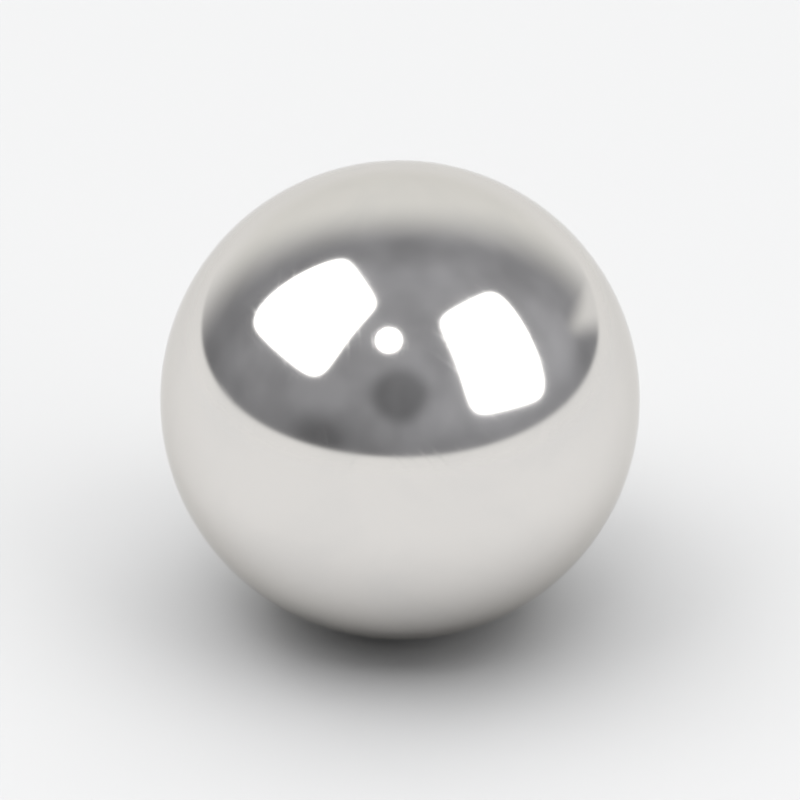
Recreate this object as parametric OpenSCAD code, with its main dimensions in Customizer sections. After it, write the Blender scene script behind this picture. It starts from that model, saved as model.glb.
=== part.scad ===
// Loose steel ball, ground and lapped to a true sphere.
// It is one solid, hardened through, with no seam, flat, hole or mark.
// The origin is at the ball's centre, and +Z is up. Sizes are in millimetres.

/* [Ball] */
// Diameter across the finished ball
ball_diameter = 12; // [3:0.5:25]

/* [Hidden] */
// The radius sets the surface, and the lowest point that a race or cup carries
ball_radius = ball_diameter / 2;
// Facets round the ball in previews, few enough to redraw quickly
preview_facets = 180;

// The whole ball, in the light grey of polished steel
module ball() {
    color([0.78, 0.77, 0.75])
        sphere(r = ball_radius, $fn = preview_facets);
}

ball();
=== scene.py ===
import math

import bpy
from mathutils import Matrix, Quaternion, Vector


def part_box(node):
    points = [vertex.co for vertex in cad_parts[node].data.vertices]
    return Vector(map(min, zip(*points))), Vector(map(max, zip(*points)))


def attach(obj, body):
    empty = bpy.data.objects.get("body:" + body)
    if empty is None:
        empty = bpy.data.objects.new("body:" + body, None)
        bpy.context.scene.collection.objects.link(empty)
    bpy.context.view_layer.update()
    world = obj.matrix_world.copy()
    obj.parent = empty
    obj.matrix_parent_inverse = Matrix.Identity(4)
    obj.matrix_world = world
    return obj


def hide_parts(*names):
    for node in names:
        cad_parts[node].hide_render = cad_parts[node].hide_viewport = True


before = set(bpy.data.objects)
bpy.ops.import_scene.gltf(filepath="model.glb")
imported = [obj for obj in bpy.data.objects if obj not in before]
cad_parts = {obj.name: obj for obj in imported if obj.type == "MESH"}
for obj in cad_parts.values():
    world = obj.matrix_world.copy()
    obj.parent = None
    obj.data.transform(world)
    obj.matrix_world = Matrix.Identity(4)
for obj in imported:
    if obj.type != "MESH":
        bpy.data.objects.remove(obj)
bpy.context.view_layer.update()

lowest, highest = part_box("ball")
ballCentre = (lowest + highest) / 2
ballRadius = (highest.z - lowest.z) / 2
print("frame loaded, ball radius in mm:", round(ballRadius * 1000, 3))


# small helpers for building node trees
def addNode(tree, kind, **settings):
    node = tree.nodes.new(kind)
    for name, value in settings.items():
        setattr(node, name, value)
    return node


def feed(tree, socket, value):
    # a value is a number, a vector, a colour or another node's output
    if isinstance(value, bpy.types.NodeSocket):
        tree.links.new(value, socket)
    else:
        socket.default_value = value


def calculate(tree, operation, *values):
    node = addNode(tree, "ShaderNodeMath", operation=operation)
    for socket, value in zip(node.inputs, values):
        feed(tree, socket, value)
    return node.outputs["Value"]


def vectorMath(tree, operation, *values, result="Vector"):
    node = addNode(tree, "ShaderNodeVectorMath", operation=operation)
    for socket, value in zip(node.inputs, values):
        feed(tree, socket, value)
    return node.outputs[result]


def scaled(tree, vector, factor):
    node = addNode(tree, "ShaderNodeVectorMath", operation="SCALE")
    feed(tree, node.inputs["Vector"], vector)
    feed(tree, node.inputs["Scale"], factor)
    return node.outputs["Vector"]


def rescale(tree, value, fromMin, fromMax, toMin=0.0, toMax=1.0):
    node = addNode(tree, "ShaderNodeMapRange", interpolation_type="SMOOTHSTEP")
    sockets = ("Value", "From Min", "From Max", "To Min", "To Max")
    for name, number in zip(sockets, (value, fromMin, fromMax, toMin, toMax)):
        feed(tree, node.inputs[name], number)
    return node.outputs["Result"]


def blendColours(tree, share, first, second):
    node = addNode(tree, "ShaderNodeMix", data_type="RGBA")
    sockets = [s for s in node.inputs if s.type == "RGBA"]
    feed(tree, node.inputs["Factor"], share)
    feed(tree, sockets[0], first)
    feed(tree, sockets[1], second)
    return next(s for s in node.outputs if s.type == "RGBA")


def newGroup(name, inputs, output):
    group = bpy.data.node_groups.new(name, "ShaderNodeTree")
    group.interface.new_socket("Vector", in_out="INPUT", socket_type="NodeSocketVector")
    for socketName, value in inputs.items():
        socket = group.interface.new_socket(socketName, in_out="INPUT", socket_type="NodeSocketFloat")
        socket.default_value = value
    group.interface.new_socket(output, in_out="OUTPUT", socket_type="NodeSocketFloat")
    return group, addNode(group, "NodeGroupInput"), addNode(group, "NodeGroupOutput")


def useGroup(tree, group, where, inputs, output):
    node = addNode(tree, "ShaderNodeGroup", node_tree=group)
    feed(tree, node.inputs["Vector"], where)
    for name, value in inputs.items():
        feed(tree, node.inputs[name], value)
    return node.outputs[output]


def direction(azimuth, elevation):
    # azimuth 0 is behind the ball (+Y) and 90 is to its right (+X)
    a, e = math.radians(azimuth), math.radians(elevation)
    return Vector((math.sin(a) * math.cos(e), math.cos(a) * math.cos(e), math.sin(e)))


# the steel is a mirror with the faint haze and hairlines that lapping and handling leave
steel = {
    "colour": (0.776, 0.755, 0.727, 1.0),
    "oiledColour": (0.753, 0.735, 0.711, 1.0),
    "edgeTint": (0.85, 0.84, 0.82, 1.0),
    "roughness": 0.085,
    "hazeRoughness": 0.02,
    "markRoughness": 0.03,
    "smears": {"Smear Size": 0.0034},
    "longMarks": {"Patch Size": 0.0042, "Line Spacing": 0.00013, "Rarity": 0.68},
    "shortMarks": {"Patch Size": 0.0015, "Line Spacing": 0.00008, "Rarity": 0.68},
}
# how the noise of the smears is made, and the two values of it between which they fade in
smearForm = {
    "noise": {"Detail": 5.0, "Roughness": 0.55, "Distortion": 1.4},
    "fadeIn": (0.38, 0.68),
}


def makeHazeGroup():
    # soft smears, as a thin film of oil leaves when it is wiped round the ball
    group, given, made = newGroup("oilHaze", {"Smear Size": 0.003}, "Haze")
    smear = addNode(group, "ShaderNodeTexNoise")
    feed(group, smear.inputs["Vector"], given.outputs["Vector"])
    feed(group, smear.inputs["Scale"], calculate(group, "DIVIDE", 1.0, given.outputs["Smear Size"]))
    for name, value in smearForm["noise"].items():
        smear.inputs[name].default_value = value
    feed(group, made.inputs["Haze"], rescale(group, smear.outputs["Fac"], *smearForm["fadeIn"]))
    return group


# how the hairlines fade in, how far each patch shifts its own, and the gaps that break them up
markForm = {
    "lineFade": 0.06,
    "patchShift": (310, 570, 130),
    "patchEdge": 0.12,
    "gapsPerPatch": 2.2,
    "gapDetail": 2.0,
    "gapFade": (0.46, 0.62),
}


def makeMarksGroup():
    # inside each patch the hairlines run one way, and each patch has its own way
    inputs = {"Patch Size": 0.003, "Line Spacing": 0.0001, "Rarity": 0.7}
    group, given, made = newGroup("hairlineMarks", inputs, "Mark")
    where = given.outputs["Vector"]
    patchScale = calculate(group, "DIVIDE", 1.0, given.outputs["Patch Size"])
    patches = addNode(group, "ShaderNodeTexVoronoi", feature="F1")
    borders = addNode(group, "ShaderNodeTexVoronoi", feature="DISTANCE_TO_EDGE")
    for cells in (patches, borders):
        feed(group, cells.inputs["Vector"], where)
        feed(group, cells.inputs["Scale"], patchScale)
    centred = vectorMath(group, "SUBTRACT", patches.outputs["Color"], (0.5, 0.5, 0.5))
    way = vectorMath(group, "NORMALIZE", centred)
    across = vectorMath(group, "DOT_PRODUCT", where, way, result="Value")
    patchShift = markForm["patchShift"]
    shift = vectorMath(group, "DOT_PRODUCT", patches.outputs["Color"], patchShift, result="Value")
    steps = calculate(group, "DIVIDE", across, given.outputs["Line Spacing"])
    lines = addNode(group, "ShaderNodeTexNoise", noise_dimensions="1D")
    feed(group, lines.inputs["W"], calculate(group, "ADD", steps, shift))
    lines.inputs["Scale"].default_value = 1.0
    lines.inputs["Detail"].default_value = 0.0
    rarest = calculate(group, "ADD", given.outputs["Rarity"], markForm["lineFade"])
    thin = rescale(group, lines.outputs["Fac"], given.outputs["Rarity"], rarest)
    gaps = addNode(group, "ShaderNodeTexNoise")
    feed(group, gaps.inputs["Vector"], where)
    gapScale = calculate(group, "MULTIPLY", patchScale, markForm["gapsPerPatch"])
    feed(group, gaps.inputs["Scale"], gapScale)
    gaps.inputs["Detail"].default_value = markForm["gapDetail"]
    broken = rescale(group, gaps.outputs["Fac"], *markForm["gapFade"])
    inside = rescale(group, borders.outputs["Distance"], 0.0, markForm["patchEdge"])
    mark = calculate(group, "MULTIPLY", calculate(group, "MULTIPLY", thin, broken), inside)
    feed(group, made.inputs["Mark"], mark)
    return group


def makeSteel():
    material = bpy.data.materials.new("lappedSteel")
    material.use_nodes = True
    tree = material.node_tree
    shader = tree.nodes["Principled BSDF"]
    shader.inputs["Metallic"].default_value = 1.0
    shader.inputs["Specular Tint"].default_value = steel["edgeTint"]
    where = addNode(tree, "ShaderNodeTexCoord").outputs["Object"]
    haze = useGroup(tree, makeHazeGroup(), where, steel["smears"], "Haze")
    marksGroup = makeMarksGroup()
    longMarks = useGroup(tree, marksGroup, where, steel["longMarks"], "Mark")
    shortMarks = useGroup(tree, marksGroup, where, steel["shortMarks"], "Mark")
    mark = calculate(tree, "MAXIMUM", longMarks, shortMarks)
    colour = blendColours(tree, haze, steel["colour"], steel["oiledColour"])
    feed(tree, shader.inputs["Base Color"], colour)
    hazy = calculate(tree, "MULTIPLY_ADD", haze, steel["hazeRoughness"], steel["roughness"])
    roughness = calculate(tree, "MULTIPLY_ADD", mark, steel["markRoughness"], hazy)
    feed(tree, shader.inputs["Roughness"], roughness)
    return material


# the ball's surface is a cube bent onto the sphere, so it has no poles and no seam
ballMesh = {
    "facesAlongEdge": 96,
}


def makeBallTree():
    tree = bpy.data.node_groups.new("lappedBall", "GeometryNodeTree")
    face = tree.interface
    face.new_socket("Radius", in_out="INPUT", socket_type="NodeSocketFloat")
    face.new_socket("Faces Along Edge", in_out="INPUT", socket_type="NodeSocketInt")
    face.new_socket("Finish", in_out="INPUT", socket_type="NodeSocketMaterial")
    face.new_socket("Geometry", in_out="OUTPUT", socket_type="NodeSocketGeometry")
    given = addNode(tree, "NodeGroupInput")
    made = addNode(tree, "NodeGroupOutput")
    count = calculate(tree, "ADD", given.outputs["Faces Along Edge"], 1.0)
    cube = addNode(tree, "GeometryNodeMeshCube")
    cube.inputs["Size"].default_value = (2, 2, 2)
    for side in ("Vertices X", "Vertices Y", "Vertices Z"):
        feed(tree, cube.inputs[side], count)
    # equal steps of angle along each edge keep the faces near one size
    place = addNode(tree, "GeometryNodeInputPosition").outputs["Position"]
    angle = scaled(tree, place, math.pi / 4)
    outward = vectorMath(tree, "NORMALIZE", vectorMath(tree, "TANGENT", angle))
    shape = addNode(tree, "GeometryNodeSetPosition")
    feed(tree, shape.inputs["Geometry"], cube.outputs["Mesh"])
    feed(tree, shape.inputs["Position"], scaled(tree, outward, given.outputs["Radius"]))
    smooth = addNode(tree, "GeometryNodeSetShadeSmooth")
    feed(tree, smooth.inputs["Geometry"], shape.outputs["Geometry"])
    real = addNode(tree, "GeometryNodeRealizeInstances")
    feed(tree, real.inputs["Geometry"], smooth.outputs["Geometry"])
    finish = addNode(tree, "GeometryNodeSetMaterial")
    feed(tree, finish.inputs["Geometry"], real.outputs["Geometry"])
    feed(tree, finish.inputs["Material"], given.outputs["Finish"])
    feed(tree, made.inputs["Geometry"], finish.outputs["Geometry"])
    return tree


def makeBall(material):
    seed = bpy.data.objects.new("ballSeed", bpy.data.meshes.new("ballSeed"))
    bpy.context.collection.objects.link(seed)
    modifier = seed.modifiers.new("lappedBall", "NODES")
    modifier.node_group = makeBallTree()
    sockets = {item.name: item.identifier for item in modifier.node_group.interface.items_tree}
    modifier[sockets["Radius"]] = ballRadius
    modifier[sockets["Faces Along Edge"]] = ballMesh["facesAlongEdge"]
    modifier[sockets["Finish"]] = material
    evaluated = seed.evaluated_get(bpy.context.evaluated_depsgraph_get())
    mesh = bpy.data.meshes.new_from_object(evaluated)
    bpy.data.objects.remove(seed)
    mesh.transform(Matrix.Translation(ballCentre))
    ball = bpy.data.objects.new("steelBall", mesh)
    bpy.context.collection.objects.link(ball)
    return ball


lappedSteel = makeSteel()
steelBall = makeBall(lappedSteel)
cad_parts["ball"].data.materials.clear()
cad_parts["ball"].data.materials.append(lappedSteel)
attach(steelBall, "root")
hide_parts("ball")
print("ball made, faces:", len(steelBall.data.polygons))


# far from the lamps the floor would darken, so out there it shines by itself with its own bright tone
floorLook = {
    "colour": (0.349, 0.349, 0.349, 1.0),
    "brightColour": (0.915, 0.915, 0.915, 1.0),
    "unlit": (0.0, 0.0, 0.0, 1.0),
    "gloss": 0.0,
    "reach": 3.0,
    "nearEnd": 0.035,
    "farStart": 0.13,
}


def makeFloor():
    mesh = bpy.data.meshes.new("floor")
    reach = floorLook["reach"]
    height = ballCentre.z - ballRadius
    corners = [(-reach, -reach), (reach, -reach), (reach, reach), (-reach, reach)]
    mesh.from_pydata([(x, y, height) for x, y in corners], [], [(0, 1, 2, 3)])
    floor = bpy.data.objects.new("floor", mesh)
    bpy.context.collection.objects.link(floor)
    material = bpy.data.materials.new("paleFloor")
    material.use_nodes = True
    tree = material.node_tree
    shader = tree.nodes["Principled BSDF"]
    shader.inputs["Specular IOR Level"].default_value = floorLook["gloss"]
    where = addNode(tree, "ShaderNodeTexCoord").outputs["Object"]
    flat = vectorMath(tree, "MULTIPLY", where, (1, 1, 0))
    far = vectorMath(tree, "LENGTH", flat, result="Value")
    share = rescale(tree, far, floorLook["nearEnd"], floorLook["farStart"])
    lit = blendColours(tree, share, floorLook["colour"], floorLook["unlit"])
    shining = blendColours(tree, share, floorLook["unlit"], floorLook["brightColour"])
    feed(tree, shader.inputs["Base Color"], lit)
    feed(tree, shader.inputs["Emission Color"], shining)
    shader.inputs["Emission Strength"].default_value = 1.0
    material.cycles.emission_sampling = "NONE"
    mesh.materials.append(material)


# two softboxes and a small round lamp, placed where the ball's reflections say that they stood:
# sizes are in metres, angles in degrees, and a box is rolled about the way that it aims
softboxes = {
    "distance": 0.76,
    "brightness": 2.4,
    "squareness": 6.0,
    "clothEdge": (0.9, 1.0),
    "left": {
        "azimuth": -101.4,
        "elevation": 59.2,
        "aim": (69.5, -19.2),
        "roll": 2.0,
        "width": 0.602,
        "height": 0.778,
    },
    "right": {
        "azimuth": 117.8,
        "elevation": 39.3,
        "aim": (-56.3, -26.4),
        "roll": -10.5,
        "width": 0.575,
        "height": 0.721,
    },
}
roundLamp = {
    "azimuth": -171.0,
    "elevation": 55.8,
    "distance": 0.76,
    "diameter": 0.15,
    "brightness": 6.0,
}
# a broad ceiling of light fills the floor, and the ball shows only the lamps that the photograph shows
ceiling = {
    "height": 1.1,
    "width": 1.7,
    "brightness": 3.74,
}


def hangLight(name, data, place, aim, roll=0.0):
    light = bpy.data.objects.new(name, data)
    light.location = place
    light.rotation_mode = "QUATERNION"
    turned = Quaternion((0, 0, 1), math.radians(roll))
    light.rotation_quaternion = aim.to_track_quat("-Z", "Y") @ turned
    light.visible_camera = False
    bpy.context.collection.objects.link(light)
    return light


def roundCorners(data):
    # the cloth front has round corners and sides that bulge a little
    data.use_nodes = True
    tree = data.node_tree
    front = addNode(tree, "ShaderNodeNewGeometry").outputs["Parametric"]
    fromMiddle = vectorMath(tree, "MULTIPLY_ADD", front, (2, 2, 0), (-1, -1, 0))
    parts = addNode(tree, "ShaderNodeSeparateXYZ")
    feed(tree, parts.inputs["Vector"], vectorMath(tree, "ABSOLUTE", fromMiddle))
    across = calculate(tree, "POWER", parts.outputs["X"], softboxes["squareness"])
    along = calculate(tree, "POWER", parts.outputs["Y"], softboxes["squareness"])
    outwards = calculate(tree, "ADD", across, along)
    shining = rescale(tree, outwards, *softboxes["clothEdge"], 1.0, 0.0)
    feed(tree, tree.nodes["Emission"].inputs["Strength"], shining)


def addSoftbox(name, spec):
    data = bpy.data.lights.new(name, "AREA")
    data.shape = "RECTANGLE"
    data.size, data.size_y = spec["width"], spec["height"]
    data.energy = softboxes["brightness"] * math.pi * data.size * data.size_y
    roundCorners(data)
    place = direction(spec["azimuth"], spec["elevation"]) * softboxes["distance"]
    hangLight(name, data, place, direction(*spec["aim"]), spec["roll"])


def addRoundLamp():
    data = bpy.data.lights.new("roundLamp", "AREA")
    data.shape = "DISK"
    data.size = roundLamp["diameter"]
    data.energy = roundLamp["brightness"] * math.pi * math.pi * data.size ** 2 / 4
    toLamp = direction(roundLamp["azimuth"], roundLamp["elevation"])
    hangLight("roundLamp", data, toLamp * roundLamp["distance"], -toLamp)


def addCeiling():
    data = bpy.data.lights.new("ceiling", "AREA")
    data.shape = "SQUARE"
    data.size = ceiling["width"]
    data.energy = ceiling["brightness"] * math.pi * data.size ** 2
    light = hangLight("ceiling", data, Vector((0, 0, ceiling["height"])), Vector((0, 0, -1)))
    light.visible_glossy = False


# the dim room round the set gives only reflections and a soft fill: angles are in degrees, an aim
# is an azimuth and an elevation, and heights go from 0, level with the ball, to 1 straight overhead
room = {
    "colour": (0.342, 0.348, 0.370),
    "backdropColour": (0.841, 0.841, 0.821, 1.0),
    "horizonHeights": (0.04, 0.0),
    "sweepHeights": (0.34, 0.02),
    "backdropAzimuth": -2.0,
    "backdropSpread": (1.2, 1.85),
    "backdropEdge": (25.0, 60.5),
    "board": {
        "rightEdge": ((52.5, 0.0), (68.0, 12.0)),
        "topEdge": ((66.0, 14.5), (48.0, 9.0)),
        "aim": (50.0, 5.0),
        "reach": (20.0, 30.0),
        "softness": 0.07,
        "share": 0.86,
    },
    "besideBackdrop": {"from": 64.0, "to": 90.0, "shade": 0.81},
    "nearFloor": {"heights": (0.0, 0.34), "shade": 0.75},
    "lens": {"aim": (180.0, 30.0), "from": 8.0, "to": 17.0, "shade": 0.57},
    "dimCorner": {"aim": (217.0, 6.0), "from": 3.0, "to": 18.0, "shade": 0.57},
    "lighterSide": (0.17, 0.08, 0.0),
    "patches": {"scale": 2.2, "detail": 2.0, "between": (0.3, 0.7), "shades": (0.87, 1.15)},
}


def angleFrom(tree, where, aim):
    near = vectorMath(tree, "DOT_PRODUCT", where, direction(*aim), result="Value")
    return calculate(tree, "MULTIPLY", calculate(tree, "ARCCOSINE", near), 180 / math.pi)


def makeBoard(tree, where):
    # a low pale board at the backdrop's right end: each of its edges is straight, and lies in the
    # plane through the ball's centre and two directions
    board = room["board"]
    share = rescale(tree, angleFrom(tree, where, board["aim"]), *board["reach"], board["share"], 0.0)
    for edge in ("rightEdge", "topEdge"):
        start, end = (direction(*corner) for corner in board[edge])
        outward = start.cross(end).normalized()
        beyond = vectorMath(tree, "DOT_PRODUCT", where, outward, result="Value")
        inside = rescale(tree, beyond, -board["softness"], board["softness"], 1.0, 0.0)
        share = calculate(tree, "MULTIPLY", share, inside)
    return share


def makeRoomLight(tree, where, height, fromBackdrop):
    beside, low, patches = room["besideBackdrop"], room["nearFloor"], room["patches"]
    cloud = addNode(tree, "ShaderNodeTexNoise")
    feed(tree, cloud.inputs["Vector"], where)
    cloud.inputs["Scale"].default_value = patches["scale"]
    cloud.inputs["Detail"].default_value = patches["detail"]
    towards = vectorMath(tree, "DOT_PRODUCT", where, room["lighterSide"], result="Value")
    shares = [
        rescale(tree, fromBackdrop, beside["from"], beside["to"], beside["shade"], 1.0),
        rescale(tree, height, *low["heights"], low["shade"], 1.0),
        rescale(tree, cloud.outputs["Fac"], *patches["between"], *patches["shades"]),
        calculate(tree, "ADD", towards, 1.0),
    ]
    for spot in (room["lens"], room["dimCorner"]):
        fromSpot = angleFrom(tree, where, spot["aim"])
        shares.append(rescale(tree, fromSpot, spot["from"], spot["to"], spot["shade"], 1.0))
    light = shares[0]
    for share in shares[1:]:
        light = calculate(tree, "MULTIPLY", light, share)
    return scaled(tree, room["colour"], light)


def makeRoom():
    world = bpy.data.worlds.new("studioRoom")
    bpy.context.scene.world = world
    world.use_nodes = True
    tree = world.node_tree
    tree.nodes.clear()
    where = addNode(tree, "ShaderNodeTexCoord").outputs["Generated"]
    parts = addNode(tree, "ShaderNodeSeparateXYZ")
    feed(tree, parts.inputs["Vector"], where)
    height = parts.outputs["Z"]
    # the backdrop stands upright behind the ball, and is higher than it is wide
    wide, high = room["backdropSpread"]
    squeezed = vectorMath(tree, "DIVIDE", where, (wide, 1.0, high))
    squeezed = vectorMath(tree, "NORMALIZE", squeezed)
    fromBackdrop = angleFrom(tree, squeezed, (room["backdropAzimuth"], 0.0))
    dim = makeRoomLight(tree, where, height, fromBackdrop)
    # the backdrop is a soft round glow that sweeps down into the floor, and the floor goes on below
    sweep = rescale(tree, height, *room["sweepHeights"])
    backdrop = blendColours(tree, sweep, room["backdropColour"], floorLook["brightColour"])
    glow = rescale(tree, fromBackdrop, *room["backdropEdge"], 1.0, 0.0)
    pale = calculate(tree, "MAXIMUM", glow, makeBoard(tree, where))
    lit = blendColours(tree, pale, dim, backdrop)
    floorShare = rescale(tree, height, *room["horizonHeights"])
    around = addNode(tree, "ShaderNodeBackground")
    feed(tree, around.inputs["Color"], blendColours(tree, floorShare, lit, floorLook["brightColour"]))
    plain = addNode(tree, "ShaderNodeBackground")
    feed(tree, plain.inputs["Color"], floorLook["brightColour"])
    rays = addNode(tree, "ShaderNodeLightPath")
    choose = addNode(tree, "ShaderNodeMixShader")
    feed(tree, choose.inputs[0], rays.outputs["Is Camera Ray"])
    feed(tree, choose.inputs[1], around.outputs["Background"])
    feed(tree, choose.inputs[2], plain.outputs["Background"])
    output = addNode(tree, "ShaderNodeOutputWorld")
    feed(tree, output.inputs["Surface"], choose.outputs["Shader"])


# the camera looks down at the photograph's angle: its distance is in ball radii, and fill is the
# ball's share of the frame's width
cameraView = {
    "elevation": 28.0,
    "distance": 18.9,
    "fill": 0.6,
}


def makeCamera():
    data = bpy.data.cameras.new("camera")
    halfWidth = math.tan(math.asin(1 / cameraView["distance"])) / cameraView["fill"]
    data.lens = data.sensor_width / 2 / halfWidth
    data.clip_start = ballRadius
    camera = bpy.data.objects.new("camera", data)
    back = direction(180, cameraView["elevation"])
    camera.location = ballCentre + back * ballRadius * cameraView["distance"]
    camera.rotation_mode = "QUATERNION"
    camera.rotation_quaternion = (-back).to_track_quat("-Z", "Y")
    bpy.context.collection.objects.link(camera)
    bpy.context.scene.camera = camera
    bpy.context.scene.view_settings.view_transform = "Standard"


makeFloor()
addSoftbox("leftSoftbox", softboxes["left"])
addSoftbox("rightSoftbox", softboxes["right"])
addRoundLamp()
addCeiling()
makeRoom()
makeCamera()
print("floor, lights, room and camera ready")
